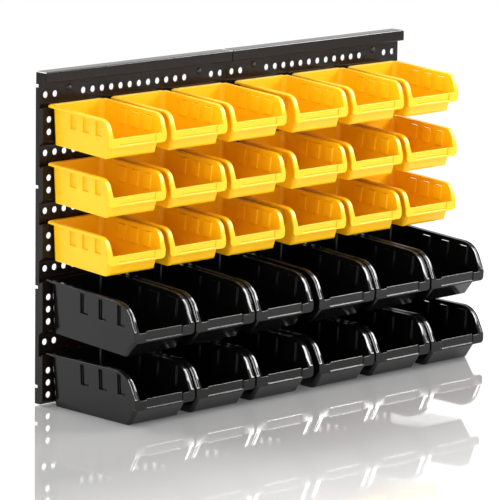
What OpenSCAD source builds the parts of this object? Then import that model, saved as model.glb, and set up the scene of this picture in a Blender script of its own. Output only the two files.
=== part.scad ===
// Wall-mounted bin rack: two louvred panels side by side, held by eight screws,
// with three rows of small bins above two rows of large bins hooked on their lips.
// X runs along the wall, +Y points into the wall and +Z is up. Depths are measured from
// the wall plane towards the room. The origin is on the wall, midway between all screws.

/* [Panels] */
// Width of one panel
panel_w = 315; // [290:1:360]
// Wall thickness of the panel moulding
sheet_t = 2.2; // [1.8:0.1:3]
// Height of a recessed band with a row of holes
band_h = 30; // [27:0.5:36]
// Height of the louvre that carries a row of small bins
small_louvre_h = 42.5; // [38:0.5:50]
// Height of the louvre that carries a row of large bins
large_louvre_h = 63; // [58:0.5:72]
// Depth of the bands in front of the wall
band_depth = 7.3; // [6:0.1:9]
// Depth of the louvres in front of the wall
louvre_depth = 14.3; // [13.5:0.1:17]
// Depth of the pocket behind a louvre's free lip
pocket_depth = 8.5; // [7.5:0.5:9]
// Height of the slope between a louvre's foot and the band below it
foot_slope_h = 5; // [3:0.5:8]
// How far the end walls stop below the free lip
lip_end_drop = 2; // [1:0.5:4]
// Radius of the bend at the panel's lower edge
lower_edge_r = 5; // [2:0.5:6]
// Height of the notches in the end walls
notch_h = 4; // [3:0.5:6]
// Drop from the cap to the middle of the first notch
notch_start = 3.5; // [3:0.5:10]
// Spacing of the notches
notch_pitch = 126; // [110:1:128]

/* [Cap] */
// Height of the cap along the top edge
cap_h = 14.5; // [11:0.5:20]
// Depth of the cap in front of the wall
cap_depth = 19; // [16:0.5:24]
// How far the cap's ends stand back from the panel's sides
cap_inset = 0.5; // [0.2:0.1:3]
// Radius along the cap's front edges
cap_r = 1.6; // [1:0.1:2]
// Radius at the upper corners of the cap's ends
cap_end_r = 3.5; // [2.5:0.5:6]

/* [Peg holes] */
// Diameter of the peg holes
hole_d = 8; // [6:0.5:9]
// Distance from a panel's side to its first peg hole
hole_margin = 10.25; // [9:0.25:14]
// Number of peg holes across a panel
hole_count = 20; // [16:1:20]
// Height from a louvre's foot to its lowest peg hole
louvre_hole_rise = 12; // [10:0.5:14]

/* [Screws] */
// Distance of each screw from its panel's nearer side
screw_inset = 48; // [40:0.5:56]
// Height of the screws above their row of peg holes
screw_rise = 6; // [4:0.5:7]
// Diameter of the screws in the wall
screw_d = 4.2; // [3:0.1:4.6]
// Diameter of the plain shank under the head
shank_d = 4.8; // [4.7:0.1:5.4]
// Diameter of the screw heads
head_d = 9; // [7:0.5:10]
// Height of the screw heads
head_h = 2.6; // [2:0.1:4]
// Length of screw that enters the wall
screw_reach = 30; // [20:1:50]
// Outer diameter of the bosses behind the screw heads
boss_d = 12; // [10:0.5:14]
// Clearance round a screw's shank
screw_clearance = 0.3; // [0.1:0.05:0.6]

/* [Hanging] */
// Strip left free at each end of a panel's row of bins
bin_margin = 3.75; // [2:0.25:6]
// Forward droop of the hung bins, which is also the draft of their walls
hang_tilt = 3.3; // [2:0.1:5]
// Forward droop of the bottom row, which stands level on the surface below
bottom_row_tilt = 0; // [0:0.1:5]
// Clearance between a bin and the louvre that carries it
hang_clearance = 0.3; // [0.2:0.05:0.6]
// Clearance between a bin's hook and the back of the lip
hook_clearance = 0.5; // [0.3:0.05:1]
// Length of the hook's leg below the rim
hook_leg = 5.5; // [4:0.5:6]
// Distance from the rim's side to the hook
hook_inset = 6; // [4:0.5:10]
// Thickness of the hook's leg
hook_t = 1.7; // [1.2:0.1:2]

/* [Small bins] */
// Gap between the rims of neighbouring small bins
small_gap = 8.5; // [6:0.5:14]
// Length of the rim from the back wall to its front corner
small_rim_l = 106; // [96:0.5:116]
// Depth from the back wall to the lip's front
small_depth = 114.5; // [108:0.5:124]
// Overall height
small_h = 49.5; // [46:0.5:56]
// Drop from the rim to the top of the front lip
small_lip_drop = 22.5; // [18:0.5:26]
// Height of the front lip
small_lip_h = 12; // [10:0.5:14]
// Length of the floor from the back wall
small_floor_l = 105; // [96:0.5:108]
// Thickness of the walls
small_wall = 2; // [1.6:0.1:2.6]
// Overhang of the rim outside the walls
small_overhang = 4.5; // [3:0.5:6]
// Radius at the rim's front corners
small_front_r = 15; // [10:0.5:18]
// Radius of the upright corners at the back
small_back_r = 9; // [7:0.5:12]
// Distance from the back wall to the first divider groove
small_groove_start = 35.5; // [30:0.5:38]
// Spacing of the divider grooves
small_groove_pitch = 23.2; // [18:0.2:26]
// Height of the divider grooves
small_groove_h = 18; // [12:0.5:19]
// Width of a divider groove
small_groove_w = 11; // [8:0.5:14]
// Depth of a divider groove, which bulges out inside the bin
small_groove_t = 2.6; // [1:0.2:3]

/* [Large bins] */
// Gap between the rims of neighbouring large bins
large_gap = 3; // [2:0.5:10]
// Length of the rim from the back wall to its front corner
large_rim_l = 149; // [138:0.5:156]
// Depth from the back wall to the lip's front
large_depth = 166; // [158:0.5:178]
// Overall height
large_h = 68; // [64:0.5:74]
// Drop from the rim to the top of the front lip
large_lip_drop = 34; // [30:0.5:38]
// Height of the front lip
large_lip_h = 12.5; // [11:0.5:15]
// Length of the floor from the back wall
large_floor_l = 145.5; // [140:0.5:150]
// Thickness of the walls
large_wall = 2; // [1.8:0.1:2.8]
// Overhang of the rim outside the walls
large_overhang = 5; // [3:0.5:6]
// Radius at the rim's front corners
large_front_r = 30; // [22:0.5:34]
// Radius of the upright corners at the back
large_back_r = 9; // [7:0.5:14]
// Distance from the back wall to the first divider groove
large_groove_start = 58.5; // [50:0.5:60]
// Spacing of the divider grooves
large_groove_pitch = 34; // [26:0.5:36]
// Height of the divider grooves
large_groove_h = 26; // [20:0.5:27]
// Width of a divider groove
large_groove_w = 14; // [10:0.5:18]
// Depth of a divider groove, which bulges out inside the bin
large_groove_t = 3.2; // [1:0.2:3.4]

/* [Bin details] */
// Thickness of the rim and of the front lip
rim_t = 3; // [2.4:0.1:3.4]
// Radius where the floor meets the back wall
floor_back_r = 5; // [4:0.5:8]
// Radius where the floor meets the lower front wall
floor_front_r = 6; // [4:0.5:8]
// How far the lip stands in front of the lower front wall
lip_proud = 6; // [4:0.5:8]
// Radius of the lip's lower corners
lip_corner_r = 5; // [3:0.5:7]
// Drop from the rim's top to the divider grooves
groove_drop = 5.5; // [5:0.5:7]
// Thickness of the wall behind a divider groove
groove_skin = 1.2; // [1:0.1:2]
// Radius of the upright corners at the front, below the lip
front_corner_r = 6; // [4:0.5:8]
// Width of the channel along a large bin's front flanges
channel_w = 2; // [1:0.2:3]
// Depth of the channel along a large bin's front flanges
channel_t = 0.8; // [0.4:0.1:1.2]
// Width of the label holder
label_w = 60; // [40:1:66]
// Depth of the label holder's recess
label_t = 1.4; // [0.8:0.1:1.6]
// Width of the frame left under the label holder
label_frame = 2.5; // [1.5:0.5:3.5]
// Gap between the label plate and its frame
label_gap = 1.4; // [0.8:0.1:2]
// How far a large bin's label plate stands above the lip
label_rise = 1.6; // [0:0.2:2.4]

/* [Hidden] */
$fn = 48;
panel_colour = "#26262a";
screw_colour = "#3a3a3c";
small_colour = "#f6bc1c";
large_colour = "#2b2b2d";
small_rows = [1, 2, 3];
large_rows = [4, 5];
row_count = len(small_rows) + len(large_rows);
columns = [1 : 6];
panel_columns = 3;
bin_pitch = (panel_w - 2 * bin_margin) / panel_columns;
small_rim_w = bin_pitch - small_gap;
large_rim_w = bin_pitch - large_gap;
reach = 2 * large_depth;
over = 1;
arc_steps = 6;
groove_count = 3;
slot_w = 1;

// Louvre heights from the bottom of the panel up, and the height of each louvre's free lip
function is_small(row) = row <= len(small_rows);
function louvre_h(row) = is_small(row) ? small_louvre_h : large_louvre_h;
function foot_above_bottom(row) =
    row >= row_count ? 0 : foot_above_bottom(row + 1) + louvre_h(row + 1) + band_h;
function hole_row_above_bottom(row) = foot_above_bottom(row) + louvre_h(row) + band_h / 2;
screw_top = hole_row_above_bottom(1) + screw_rise;
screw_bottom = hole_row_above_bottom(row_count) + screw_rise;
panel_bottom = -(screw_top + screw_bottom) / 2;
function foot_z(row) = panel_bottom + foot_above_bottom(row);
function lip_z(row) = foot_z(row) + louvre_h(row);
function hole_row_z(row) = panel_bottom + hole_row_above_bottom(row);
cap_z = lip_z(1) + band_h;
panel_top = cap_z + cap_h;
screw_rows = [screw_top + panel_bottom, screw_bottom + panel_bottom];
hole_pitch = (panel_w - 2 * hole_margin) / (hole_count - 1);
function hole_x(i) = -panel_w / 2 + hole_margin + i * hole_pitch;
screw_xs = [-panel_w / 2 + screw_inset, panel_w / 2 - screw_inset];
notch_depth = band_depth - sheet_t;
notch_count = 4;

small_names = [for (r = small_rows, c = columns) str("small_bin_r", r, "c", c)];
large_names = [for (r = large_rows, c = columns) str("large_bin_r", r, "c", c)];

// Corner geometry: each point is [x, y, radius]
function xy(p) = [p[0], p[1]];
function unit(v) = v / norm(v);
function at(points, i) = points[(i + len(points)) % len(points)];
function half_angle(a, p, b) = acos(unit(xy(a) - xy(p)) * unit(xy(b) - xy(p))) / 2;
function side_of(a, p, b) = sign((p[0] - a[0]) * (b[1] - p[1]) - (p[1] - a[1]) * (b[0] - p[0]));
function arc_centre(a, p, b) =
    xy(p) + unit(unit(xy(a) - xy(p)) + unit(xy(b) - xy(p))) * p[2] / sin(half_angle(a, p, b));
function arc_start(a, p, b) = xy(p) + unit(xy(a) - xy(p)) * p[2] / tan(half_angle(a, p, b));
function turned(v, angle) =
    [v[0] * cos(angle) - v[1] * sin(angle), v[0] * sin(angle) + v[1] * cos(angle)];
function arc(a, p, b) =
    let (c = arc_centre(a, p, b), first = arc_start(a, p, b) - c)
    let (sweep = side_of(a, p, b) * (180 - 2 * half_angle(a, p, b)))
    [for (k = [0 : arc_steps]) c + turned(first, sweep * k / arc_steps)];

// Outline with arcs at the corners that have a radius
module rounded(points) {
    polygon([for (i = [0 : len(points) - 1]) let (p = points[i])
        each p[2] > 0 ? arc(at(points, i - 1), p, at(points, i + 1)) : [xy(p)]]);
}

// Outline in depth and height, extruded along the wall about X = 0
module along_x(w) {
    rotate([90, 0, -90]) linear_extrude(w, center = true) children();
}

// Outline in X and height, extruded from the given depth towards the room
module along_depth(from, length) {
    translate([0, -from, 0]) rotate([90, 0, 0]) linear_extrude(length) children();
}

// Panel

// Cross-section of one louvre with its lip, the pocket behind it and its sloped foot
module louvre_section(row) {
    foot = foot_z(row);
    lip = lip_z(row);
    web = lip - pocket_depth - sheet_t;
    inner = louvre_depth - sheet_t;
    lowest = row == row_count;
    translate([inner, foot]) square([sheet_t, louvre_h(row)]);
    translate([band_depth - sheet_t, web]) square([inner - band_depth + 2 * sheet_t, sheet_t]);
    translate([band_depth - sheet_t, web]) square([sheet_t, lip - web]);
    if (!lowest) polygon([
        [inner, foot + sheet_t], [band_depth - sheet_t, foot - foot_slope_h + sheet_t],
        [band_depth - sheet_t, foot - foot_slope_h], [band_depth, foot - foot_slope_h],
        [louvre_depth, foot], [louvre_depth, foot + sheet_t]
    ]);
}

// Cross-section of a recessed band, from the lip below it to the foot above it
module band_section(row) {
    top = row == 1 ? cap_z : foot_z(row - 1) - foot_slope_h;
    translate([band_depth - sheet_t, lip_z(row)]) square([sheet_t, top - lip_z(row)]);
}

// Filled side view of the panel, for the end walls
module end_outline() {
    square_from(0, band_depth, panel_bottom, cap_z);
    for (row = [1 : row_count]) {
        foot = foot_z(row);
        slope = row == row_count ? 0 : foot_slope_h;
        polygon([
            [0, foot - slope], [band_depth, foot - slope], [louvre_depth, foot],
            [louvre_depth, lip_z(row) - lip_end_drop], [0, lip_z(row) - lip_end_drop]
        ]);
    }
}

module square_from(x0, x1, y0, y1) {
    translate([x0, y0]) square([x1 - x0, y1 - y0]);
}

module notches() {
    for (i = [0 : notch_count - 1]) {
        z = cap_z - notch_start - i * notch_pitch;
        square_from(-over, notch_depth, z - notch_h / 2, z + notch_h / 2);
    }
}

module end_wall() {
    along_x(sheet_t) difference() {
        end_outline();
        notches();
    }
}

// Hood along the top edge, open at the back and closed at its ends
module cap() {
    difference() {
        intersection() {
            along_x(panel_w) rounded([[0, cap_z, 0], [cap_depth, cap_z, cap_r],
                [cap_depth, panel_top, cap_r], [0, panel_top, 0]]);
            along_depth(-over, cap_depth + 2 * over) cap_front(0, cap_end_r);
        }
        along_depth(-over, cap_depth - sheet_t + over) cap_front(sheet_t, cap_end_r - sheet_t);
    }
}

// Front view of the cap, drawn in by the given wall
module cap_front(wall, r) {
    end = panel_w / 2 - cap_inset - wall;
    rounded([[-end, cap_z + wall, 0], [end, cap_z + wall, 0], [end, panel_top - wall, r],
        [-end, panel_top - wall, r]]);
}

module lower_edge() {
    along_x(panel_w) difference() {
        rounded([[0, panel_bottom, 0], [louvre_depth, panel_bottom, lower_edge_r],
            [louvre_depth, panel_bottom + 2 * lower_edge_r, 0], [0, panel_bottom + 2 * lower_edge_r, 0]]);
        rounded([[-over, panel_bottom + sheet_t, 0],
            [louvre_depth - sheet_t, panel_bottom + sheet_t, lower_edge_r - sheet_t],
            [louvre_depth - sheet_t, panel_bottom + 3 * lower_edge_r, 0],
            [-over, panel_bottom + 3 * lower_edge_r, 0]]);
    }
}

// Keeps the bend at the panel's lower edge free of square corners
module lower_bend() {
    below = panel_bottom - over;
    front = louvre_depth + over;
    along_x(panel_w + 2 * over) rounded([[-over, below, 0], [front, below, 0],
        [front, panel_bottom + lower_edge_r, 0], [louvre_depth, panel_bottom + lower_edge_r, 0],
        [louvre_depth, panel_bottom, lower_edge_r], [-over, panel_bottom, 0]]);
}

module peg_hole(x, z) {
    translate([x, over, z]) rotate([90, 0, 0]) cylinder(h = louvre_depth + 2 * over, d = hole_d);
}

// Peg holes of one band: a full row, but for the holes that a screw's boss needs
module band_holes(row) {
    near_screw = row == 1 || row == row_count;
    for (i = [0 : hole_count - 1]) {
        gaps = [for (x = screw_xs) abs(hole_x(i) - x)];
        if (!near_screw || min(gaps) > (hole_d + boss_d) / 2) peg_hole(hole_x(i), hole_row_z(row));
    }
}

// Two columns of peg holes in a louvre, in the margins beside the bins
module louvre_holes(row) {
    top = lip_z(row) - pocket_depth - sheet_t - hole_d / 2;
    for (x = [hole_x(0), hole_x(hole_count - 1)])
        for (z = [foot_z(row) + louvre_hole_rise : hole_pitch : top]) peg_hole(x, z);
}

module at_screws() {
    for (x = screw_xs, z = screw_rows) translate([x, 0, z]) children();
}

module screw_boss() {
    rotate([90, 0, 0]) cylinder(h = band_depth, d = boss_d);
}

module screw_bore() {
    translate([0, over, 0]) rotate([90, 0, 0])
        cylinder(h = band_depth + 2 * over, d = shank_d + 2 * screw_clearance);
}

module panel() {
    color(panel_colour) difference() {
        union() {
            along_x(panel_w) for (row = [1 : row_count]) {
                louvre_section(row);
                band_section(row);
            }
            for (side = [-1, 1]) translate([side * (panel_w - sheet_t) / 2, 0, 0]) end_wall();
            cap();
            lower_edge();
            at_screws() screw_boss();
        }
        lower_bend();
        for (row = [1 : row_count]) {
            band_holes(row);
            louvre_holes(row);
        }
        at_screws() screw_bore();
    }
}

module panel_left() {
    translate([-panel_w / 2, 0, 0]) panel();
}

module panel_right() {
    translate([panel_w / 2, 0, 0]) panel();
}

// Wall screws

module wall_screw() {
    rotate([90, 0, 0]) {
        translate([0, 0, -screw_reach]) cylinder(h = screw_reach + band_depth, d = screw_d);
        cylinder(h = band_depth, d = shank_d);
        translate([0, 0, band_depth]) screw_head();
    }
}

// Low domed head with a slot
module screw_head() {
    dome_r = (head_d * head_d / 4 + head_h * head_h) / (2 * head_h);
    difference() {
        intersection() {
            translate([0, 0, head_h - dome_r]) sphere(dome_r);
            cylinder(h = head_h, d = head_d);
        }
        translate([-head_d / 2, -slot_w / 2, head_h / 2]) cube([head_d, slot_w, head_h]);
    }
}

module wall_screws() {
    color(screw_colour) for (side = [-1, 1]) translate([side * panel_w / 2, 0, 0]) at_screws() wall_screw();
}

// Bins

// Cuts that round the edge where two walls meet, from a corner on it and the walls' outward normals
module edge_cuts(corner, a, b, r) {
    spread = acos(a * b);
    centre = corner - (a + b) * r / (1 + a * b);
    for (k = [1 : arc_steps - 1]) {
        n = (a * sin(spread * (1 - k / arc_steps)) + b * sin(spread * k / arc_steps)) / sin(spread);
        translate(centre + n * r) rotate([0, -asin(n[2]), atan2(n[1], n[0])])
            translate([0, -reach / 2, -reach / 2]) cube(reach);
    }
}

// Rounds the upright corners of a bin's walls: the whole back ones, and the front ones up to a height.
// The front wall runs from its foot to its head, both as [depth, height].
module wall_corner_cuts(half_w, back, back_r, foot, head, front_r, front_top) {
    side = [cos(hang_tilt), 0, -sin(hang_tilt)];
    rear = [0, cos(hang_tilt), -sin(hang_tilt)];
    front = unit([0, foot[1] - head[1], foot[0] - head[0]]);
    foot_x = half_w + foot[1] * tan(hang_tilt);
    for (mirrored = [0, 1]) mirror([mirrored, 0, 0]) {
        edge_cuts([half_w, -back, 0], side, rear, back_r);
        intersection() {
            edge_cuts([foot_x, -foot[0], foot[1]], side, front, front_r);
            translate([-reach / 2, -reach, front_top - reach]) cube(reach);
        }
    }
}

// Cross-section of a bin's side walls, drawn in by the draft towards the floor
module wall_section(half_w, h, rise) {
    lean = tan(hang_tilt);
    polygon([
        [-half_w + h * lean, -h], [half_w - h * lean, -h],
        [half_w + rise * lean, rise], [-half_w - rise * lean, rise]
    ]);
}

// Side view of the space inside a bin, open at the top and above the lip
module inside_view(depth, h, lip_drop, floor_l, wall) {
    lean = tan(hang_tilt);
    floor_z = -h + wall;
    rounded([
        [wall - floor_z * lean, floor_z, floor_back_r - wall],
        [floor_l - wall, floor_z, floor_front_r - wall],
        [depth - rim_t, -lip_drop, 0],
        [depth + reach / 4, -lip_drop, 0],
        [depth + reach / 4, reach / 4, 0],
        [wall - reach / 4 * lean, reach / 4, 0]
    ]);
}

// Side view of a bin's walls and floor
module body_view(rim_l, depth, h, lip_drop, lip_h, floor_l, front_r) {
    lip_foot = -lip_drop - lip_h;
    rounded([
        [0, 0, 0],
        [h * tan(hang_tilt), -h, floor_back_r],
        [floor_l, -h, floor_front_r],
        [depth - lip_proud, lip_foot, 0],
        [depth, lip_foot, 0],
        [depth, -lip_drop, 0],
        [rim_l, 0, front_r]
    ]);
}

// Side view of the rim: from the hook's leg, along the top and down to the foot of the lip
module rim_view(rim_l, depth, lip_drop, lip_h, front_r, t) {
    slant = atan((depth - rim_l) / lip_drop);
    lip_foot = -lip_drop - lip_h;
    hook_front = -sheet_t - hang_clearance - hook_clearance;
    hook_back = hook_front - hook_t;
    inner_corner = rim_corner(rim_l, slant, t);
    inner_bend = -lip_drop - t * tan(slant / 2);
    rounded([
        [hook_back, -t - hook_leg, 0],
        [hook_front, -t - hook_leg, 0],
        [hook_front, -t, 0],
        [inner_corner, -t, front_r - t],
        [depth - t, inner_bend, 0],
        [depth - t, lip_foot, 0],
        [depth, lip_foot, 0],
        [depth, -lip_drop, 0],
        [rim_l, 0, front_r],
        [hook_back, 0, t / 2]
    ]);
}

// Front view of the rim, with round lower corners on the lip
module rim_front(rim_w, lip_foot) {
    rounded([
        [-rim_w / 2, lip_foot, lip_corner_r], [rim_w / 2, lip_foot, lip_corner_r],
        [rim_w / 2, rim_t, 0], [-rim_w / 2, rim_t, 0]
    ]);
}

// Puts a piece on both side walls, with X pointing out of the wall
module on_side_walls(half_w) {
    for (side = [0, 1]) mirror([side, 0, 0]) translate([half_w, 0, 0]) rotate([0, hang_tilt, 0]) children();
}

module groove_boxes(from, to, w, h, start, pitch) {
    for (i = [0 : groove_count - 1]) translate([from, -start - i * pitch - w, -groove_drop - h])
        cube([to - from, w, h]);
}

// Leaves the hook off the rim's back corners
module hook_end_cuts(rim_w) {
    for (side = [-1, 1]) translate([side * (rim_w + reach) / 2 - side * hook_inset, reach / 2, 0])
        cube(reach, center = true);
}

// Recess in the lip with the plate that a label card slides in front of
module label_recess(depth, lip_drop, lip_h) {
    translate([-label_w / 2, -depth - over, -lip_drop - lip_h + label_frame])
        cube([label_w, label_t + over, lip_h]);
}

module label_plate(depth, lip_drop, lip_h, rise) {
    foot = -lip_drop - lip_h + label_frame + label_gap;
    translate([-label_w / 2, -depth + label_t / 2, foot])
        cube([label_w - label_gap, rim_t - label_t / 2, rise - lip_drop - foot]);
}

// Where a line drawn inside the rim's outer edge turns down, at the given distance from that edge
function rim_corner(rim_l, slant, t) = rim_l - t * (1 - sin(slant)) / cos(slant);

// Channels in the two front flanges, from the rim's front corner down to the lip
module flange_channels(rim_w, rim_l, depth, lip_drop, overhang, front_r) {
    slant = atan((depth - rim_l) / lip_drop);
    corner = rim_corner(rim_l, slant, channel_t);
    back = rim_l - front_r;
    end = -lip_drop + rim_t;
    below = -2 * lip_drop;
    for (side = [-1, 1]) translate([side * (rim_w - overhang) / 2, 0, 0]) along_x(channel_w) difference() {
        square_from(back, depth + over, end, over);
        rounded([[back - over, below, 0], [corner - (below + channel_t) * tan(slant), below, 0],
            [corner, -channel_t, front_r - channel_t], [back - over, -channel_t, 0]]);
    }
}

module bin(rim_w, rim_l, depth, h, lip_drop, lip_h, floor_l, wall, overhang, front_r, back_r,
        groove_start, groove_pitch, groove_h, groove_w, groove_t, rise) {
    half_w = rim_w / 2 - overhang;
    lip_foot = -lip_drop - lip_h;
    difference() {
        union() {
            difference() {
                union() {
                    difference() {
                        intersection() {
                            along_x(rim_w) body_view(rim_l, depth, h, lip_drop, lip_h, floor_l, front_r);
                            along_depth(0, depth) wall_section(half_w, h, rim_t);
                        }
                        wall_corner_cuts(half_w, 0, back_r, [floor_l, -h], [depth - lip_proud, lip_foot],
                            front_corner_r, lip_foot);
                    }
                    difference() {
                        intersection() {
                            along_x(rim_w) rim_view(rim_l, depth, lip_drop, lip_h, front_r, rim_t);
                            along_depth(-reach / 4, reach) rim_front(rim_w, lip_foot);
                        }
                        hook_end_cuts(rim_w);
                    }
                }
                difference() {
                    intersection() {
                        along_x(rim_w) inside_view(depth, h, lip_drop, floor_l, wall);
                        along_depth(0, reach) wall_section(half_w - wall, h, rim_t);
                    }
                    wall_corner_cuts(half_w - wall, wall, back_r - wall, [floor_l - wall, wall - h],
                        [depth - rim_t, -lip_drop], front_corner_r - wall, -lip_drop);
                }
                label_recess(depth, lip_drop, lip_h);
            }
            label_plate(depth, lip_drop, lip_h, rise);
            on_side_walls(half_w)
                groove_boxes(-groove_t - groove_skin, -wall / 2, groove_w + 2 * groove_skin,
                    groove_h + groove_skin, groove_start - groove_skin, groove_pitch);
        }
        on_side_walls(half_w)
            groove_boxes(-groove_t, wall, groove_w, groove_h, groove_start, groove_pitch);
    }
}

module small_bin() {
    color(small_colour) bin(small_rim_w, small_rim_l, small_depth, small_h, small_lip_drop, small_lip_h,
        small_floor_l, small_wall, small_overhang, small_front_r, small_back_r,
        small_groove_start, small_groove_pitch, small_groove_h, small_groove_w, small_groove_t, 0);
}

module large_bin() {
    color(large_colour) difference() {
        bin(large_rim_w, large_rim_l, large_depth, large_h, large_lip_drop, large_lip_h,
            large_floor_l, large_wall, large_overhang, large_front_r, large_back_r,
            large_groove_start, large_groove_pitch, large_groove_h, large_groove_w, large_groove_t,
            label_rise);
        flange_channels(large_rim_w, large_rim_l, large_depth, large_lip_drop, large_overhang, large_front_r);
    }
}

// Hangs a bin by its rim on the lip of its row
function column_x(c) =
    (c <= panel_columns ? -panel_w / 2 : panel_w / 2) + ((c - 1) % panel_columns - 1) * bin_pitch;

module hung(row, c) {
    tilt = row == row_count ? bottom_row_tilt : hang_tilt;
    translate([column_x(c), -louvre_depth - hang_clearance, lip_z(row) + hang_clearance])
        rotate([tilt, 0, 0]) translate([0, 0, rim_t]) children();
}

panel_left();
panel_right();
wall_screws();
for (r = small_rows, c = columns)
    hung(r, c) small_bin();
for (r = large_rows, c = columns)
    hung(r, c) large_bin();
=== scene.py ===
# Wall-mounted bin rack: finishes, light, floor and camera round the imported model.
# All lengths are in metres, in the model's own frame: +X along the wall, +Y into it, +Z up.

import math

import bpy
from mathutils import Matrix, Vector


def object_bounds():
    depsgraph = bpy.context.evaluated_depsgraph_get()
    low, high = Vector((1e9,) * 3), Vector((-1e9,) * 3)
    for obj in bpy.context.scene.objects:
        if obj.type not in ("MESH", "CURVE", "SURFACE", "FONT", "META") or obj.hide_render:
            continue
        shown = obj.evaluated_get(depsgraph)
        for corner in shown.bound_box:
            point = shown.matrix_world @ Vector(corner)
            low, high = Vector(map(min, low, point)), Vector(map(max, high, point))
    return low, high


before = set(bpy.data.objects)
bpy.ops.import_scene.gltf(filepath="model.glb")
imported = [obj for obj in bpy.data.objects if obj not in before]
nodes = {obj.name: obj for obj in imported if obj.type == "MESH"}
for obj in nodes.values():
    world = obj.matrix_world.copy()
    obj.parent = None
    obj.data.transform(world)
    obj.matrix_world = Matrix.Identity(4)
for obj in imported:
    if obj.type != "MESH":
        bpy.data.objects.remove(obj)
cad_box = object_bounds()
scene = bpy.context.scene
scene.view_settings.view_transform = "Standard"

MM = 0.001
WHITE = (1, 1, 1, 1)

# Camera, fitted to the photograph, with its angles in degrees and its lens in millimetres
TARGET = Vector((-0.0802, -0.1392, -0.0531))
DISTANCE = 4.928
AZIMUTH = -43.89
ELEVATION = 10.95
ROLL = 0.79
LENS = 283.3
SENSOR = 36
SIGHT = 100

# Light: what the lamps aim at, and the world's strength as light and as a backdrop
MIDDLE = Vector((0, -0.1, 0))
AMBIENT = 0.84
BACKDROP = 1.0

# Edges: faces that fold by less than FLAT become one, and folds past SHARP are rounded
WELD = 0.005 * MM
FLAT = math.radians(0.5)
SHARP = math.radians(28)
EDGE_STEPS = 2
MOULDED_EDGE = 0.5 * MM
SCREW_EDGE = 0.15 * MM

# Surfaces: the scales of the noise, the depths of its bumps and the range that most of it lies in
FLOW_SCALE = 14.0
CLOUD_SCALE = 60.0
SCUFF_SCALE = 240.0
WEAR_SCALE = 900.0
GRAIN_SCALE = 2200.0
FLOW_DEPTH = 0.4 * MM
GRAIN_DEPTH = 0.05 * MM
NOISE_LOW = 0.3
NOISE_HIGH = 0.7
EDGE_SAMPLES = 8

# Floor: its polish fades from POLISH_NEAR to POLISH_FAR, which are places along Y
FLOOR_SIZE = 60.0
FLOOR_GAP = 0.2 * MM
FLOOR_COLOUR = (0.92, 0.92, 0.92, 1)
FLOOR_ROUGHNESS = 0.04
FLOOR_GLOW = 0.08
POLISH = 0.6
POLISH_NEAR = -0.3
POLISH_FAR = -0.9


def turn(axis, degrees):
    return Matrix.Rotation(math.radians(degrees), 4, axis)


def add_camera():
    data = bpy.data.cameras.new("camera")
    data.lens = LENS
    data.sensor_width = SENSOR
    data.clip_end = SIGHT
    camera = bpy.data.objects.new("camera", data)
    camera.matrix_world = (
        Matrix.Translation(TARGET) @ turn("Z", AZIMUTH) @ turn("X", 90 - ELEVATION)
        @ turn("Z", ROLL) @ Matrix.Translation((0, 0, DISTANCE))
    )
    scene.collection.objects.link(camera)
    scene.camera = camera


def add_softbox(name, place, across, along, watts, axis=(0, 0, 1), gleam=False):
    """A rectangular lamp aimed at the rack, whose second side runs as near to the axis as that allows.

    A gleam shows in glossy surfaces only."""
    data = bpy.data.lights.new(name, "AREA")
    data.shape = "RECTANGLE"
    data.size = across
    data.size_y = along
    data.energy = watts
    back = (Vector(place) - MIDDLE).normalized()
    side = Vector(axis).cross(back).normalized()
    facing = Matrix((side, back.cross(side), back)).transposed()
    lamp = bpy.data.objects.new(name, data)
    lamp.matrix_world = Matrix.Translation(place) @ facing.to_4x4()
    lamp.visible_diffuse = not gleam
    scene.collection.objects.link(lamp)


class Nodes:
    """Short names for making the nodes of a material or the world."""

    def __init__(self, tree):
        self.tree = tree
        tree.nodes.clear()

    def add(self, kind, settings=None, **inputs):
        node = self.tree.nodes.new(kind)
        for key, value in (settings or {}).items():
            setattr(node, key, value)
        for key, value in inputs.items():
            self.put(node, key, value)
        return node

    def put(self, node, key, value):
        socket = node.inputs[key]
        if isinstance(value, bpy.types.NodeSocket):
            self.tree.links.new(value, socket)
        else:
            socket.default_value = value

    def maths(self, operation, *values):
        node = self.add("ShaderNodeMath", {"operation": operation})
        for i, value in enumerate(values):
            self.put(node, i, value)
        return node.outputs[0]

    def blend(self, a, share, b):
        """The given share of a, and the rest of b."""
        return self.maths("MULTIPLY_ADD", a, share, self.maths("MULTIPLY", b, 1 - share))

    def noise(self, where, scale, detail, rough=0.5):
        node = self.add("ShaderNodeTexNoise", Vector=where, Scale=scale, Detail=detail, Roughness=rough)
        return node.outputs["Fac"]

    def ramp(self, value, start, end, low, high):
        node = self.add("ShaderNodeMapRange", Value=value)
        self.put(node, "From Min", start)
        self.put(node, "From Max", end)
        self.put(node, "To Min", low)
        self.put(node, "To Max", high)
        return node.outputs["Result"]

    def spread(self, value, low=0.0, high=1.0):
        return self.ramp(value, NOISE_LOW, NOISE_HIGH, low, high)

    def mix(self, factor, a, b):
        """Mixes two colours, by the numbers of the node's sockets because their names repeat."""
        node = self.add("ShaderNodeMix", {"data_type": "RGBA"})
        self.put(node, 0, factor)
        self.put(node, 6, a)
        self.put(node, 7, b)
        return node.outputs[2]

    def looked_at(self):
        """One where a surface is looked at: by the camera, in a mirror or through glass."""
        path = self.add("ShaderNodeLightPath")
        seen = self.maths("MAXIMUM", path.outputs["Is Camera Ray"], path.outputs["Is Glossy Ray"])
        return self.maths("MAXIMUM", seen, path.outputs["Is Transmission Ray"])


def new_material(name):
    material = bpy.data.materials.new(name)
    material.use_nodes = True
    return material, Nodes(material.node_tree)


def add_sky():
    world = bpy.data.worlds.new("studio")
    scene.world = world
    world.use_nodes = True
    n = Nodes(world.node_tree)
    strength = n.ramp(n.looked_at(), 0.0, 1.0, AMBIENT, BACKDROP)
    back = n.add("ShaderNodeBackground", Color=WHITE, Strength=strength)
    n.add("ShaderNodeOutputWorld", Surface=back.outputs[0])


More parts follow.
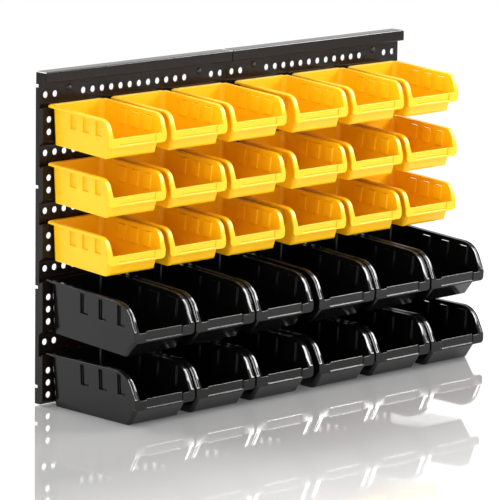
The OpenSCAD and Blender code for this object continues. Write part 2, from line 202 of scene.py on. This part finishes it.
def moulded(name, light, dark, gloss, grain, streak, edge, shine):
    """Injection-moulded plastic: a fine spark-eroded grain, faint flow streaks and uneven gloss.

    The shading rounds edges by the given radius."""
    material, n = new_material(name)
    where = n.add("ShaderNodeTexCoord").outputs["Object"]
    flow = n.noise(where, FLOW_SCALE, 3.0, 0.6)
    cloud = n.noise(where, CLOUD_SCALE, 4.0, 0.6)
    tint = n.mix(n.spread(n.blend(flow, 0.6, cloud)), (*dark, 1), (*light, 1))
    fine = n.noise(where, GRAIN_SCALE, 2.0)
    scuff = n.noise(where, SCUFF_SCALE, 5.0, 0.7)
    roughness = n.spread(n.blend(fine, 0.3, scuff), *gloss)
    soft = n.add("ShaderNodeBevel", {"samples": EDGE_SAMPLES}, Radius=edge)
    bump = n.add("ShaderNodeBump", Strength=grain, Distance=GRAIN_DEPTH, Height=fine,
                 Normal=soft.outputs["Normal"])
    wave = n.add("ShaderNodeBump", Strength=streak, Distance=FLOW_DEPTH, Height=flow,
                 Normal=bump.outputs["Normal"])
    shader = n.add("ShaderNodeBsdfPrincipled", Roughness=roughness, Normal=wave.outputs["Normal"])
    n.put(shader, "Base Color", tint)
    n.put(shader, "Specular IOR Level", shine)
    n.add("ShaderNodeOutputMaterial", Surface=shader.outputs[0])
    return material


def blackened_steel():
    material, n = new_material("blackened_steel")
    where = n.add("ShaderNodeTexCoord").outputs["Object"]
    wear = n.noise(where, WEAR_SCALE, 4.0, 0.6)
    tint = n.mix(n.spread(wear), (0.02, 0.02, 0.022, 1), (0.07, 0.07, 0.075, 1))
    bump = n.add("ShaderNodeBump", Strength=0.2, Distance=GRAIN_DEPTH, Height=wear)
    shader = n.add("ShaderNodeBsdfPrincipled", Metallic=0.85, Roughness=n.spread(wear, 0.3, 0.5),
                   Normal=bump.outputs["Normal"])
    n.put(shader, "Base Color", tint)
    n.add("ShaderNodeOutputMaterial", Surface=shader.outputs[0])
    return material


def floor_finish():
    """A pale floor, polished near the rack.

    The polish shows to the camera only, so that the bins don't mirror it."""
    material, n = new_material("pale_floor")
    direct = n.add("ShaderNodeLightPath").outputs["Is Camera Ray"]
    where = n.add("ShaderNodeTexCoord").outputs["Object"]
    ahead = n.add("ShaderNodeSeparateXYZ", Vector=where).outputs["Y"]
    polish = n.ramp(ahead, POLISH_FAR, POLISH_NEAR, 0.0, POLISH)
    shader = n.add("ShaderNodeBsdfPrincipled", Metallic=n.maths("MULTIPLY", polish, direct),
                   Roughness=FLOOR_ROUGHNESS)
    n.put(shader, "Base Color", FLOOR_COLOUR)
    n.put(shader, "Specular IOR Level", 0.0)
    n.put(shader, "Coat Weight", direct)
    n.put(shader, "Coat Roughness", FLOOR_ROUGHNESS)
    n.put(shader, "Emission Color", WHITE)
    n.put(shader, "Emission Strength", n.maths("MULTIPLY", n.looked_at(), FLOOR_GLOW))
    n.add("ShaderNodeOutputMaterial", Surface=shader.outputs[0])
    return material


def add_floor():
    half = FLOOR_SIZE / 2
    z = cad_box[0].z - FLOOR_GAP
    mesh = bpy.data.meshes.new("floor")
    corners = [(-half, -half, z), (half, -half, z), (half, half, z), (-half, half, z)]
    mesh.from_pydata(corners, [], [(0, 1, 2, 3)])
    mesh.materials.append(floor_finish())
    floor = bpy.data.objects.new("floor", mesh)
    scene.collection.objects.link(floor)


def dress(node, material, edge):
    """Gives a CAD node its finish and small moulded radii on its edges."""
    piece = nodes[node]
    piece.data.materials.clear()
    piece.data.materials.append(material)
    weld = piece.modifiers.new("weld", "WELD")
    weld.merge_threshold = WELD
    flat = piece.modifiers.new("flat", "DECIMATE")
    flat.decimate_type = "DISSOLVE"
    flat.angle_limit = FLAT
    bevel = piece.modifiers.new("edges", "BEVEL")
    bevel.width = edge
    bevel.segments = EDGE_STEPS
    bevel.limit_method = "ANGLE"
    bevel.angle_limit = SHARP
    bevel.use_clamp_overlap = False
    normals = piece.modifiers.new("normals", "WEIGHTED_NORMAL")
    normals.keep_sharp = False


yellow = moulded("yellow_plastic", (0.98, 0.55, 0.005), (0.96, 0.515, 0.004), (0.3, 0.4),
                 grain=0.15, streak=0.05, edge=0.8 * MM, shine=0.28)
black = moulded("black_plastic", (0.0035, 0.0035, 0.0036), (0.0025, 0.0025, 0.0026), (0.1, 0.18),
                grain=0.06, streak=0.05, edge=0.6 * MM, shine=0.23)
panel = moulded("panel_plastic", (0.010, 0.0065, 0.0045), (0.006, 0.0042, 0.0034), (0.12, 0.2),
                grain=0.2, streak=0.08, edge=0.8 * MM, shine=0.17)
steel = blackened_steel()

for name in nodes:
    if name.startswith("small_bin"):
        dress(name, yellow, MOULDED_EDGE)
    elif name.startswith("large_bin"):
        dress(name, black, MOULDED_EDGE)
    elif name.startswith("panel"):
        dress(name, panel, MOULDED_EDGE)
    else:
        dress(name, steel, SCREW_EDGE)

add_floor()
add_sky()
add_camera()
add_softbox("key", (-0.9, -1.9, 2.3), 1.4, 1.4, 22)
add_softbox("side", (-2.6, -0.9, 0.7), 1.1, 1.1, 10)
add_softbox("low", (-0.6, -3.0, 0.3), 0.9, 0.9, 3)
add_softbox("strip", (2.05, -1.2, 1.4), 0.45, 2.5, 57, axis=(0, 2, 1.4))
add_softbox("rim", (-0.5, 1.7, 1.8), 1.0, 1.0, 44)
add_softbox("gleam", (4.09, -2.68, 3.17), 0.9, 4.6, 430, axis=(0, 3.54, 2.88), gleam=True)
add_softbox("glint", (-0.2, 1.9, 1.9), 1.8, 0.4, 35, gleam=True)
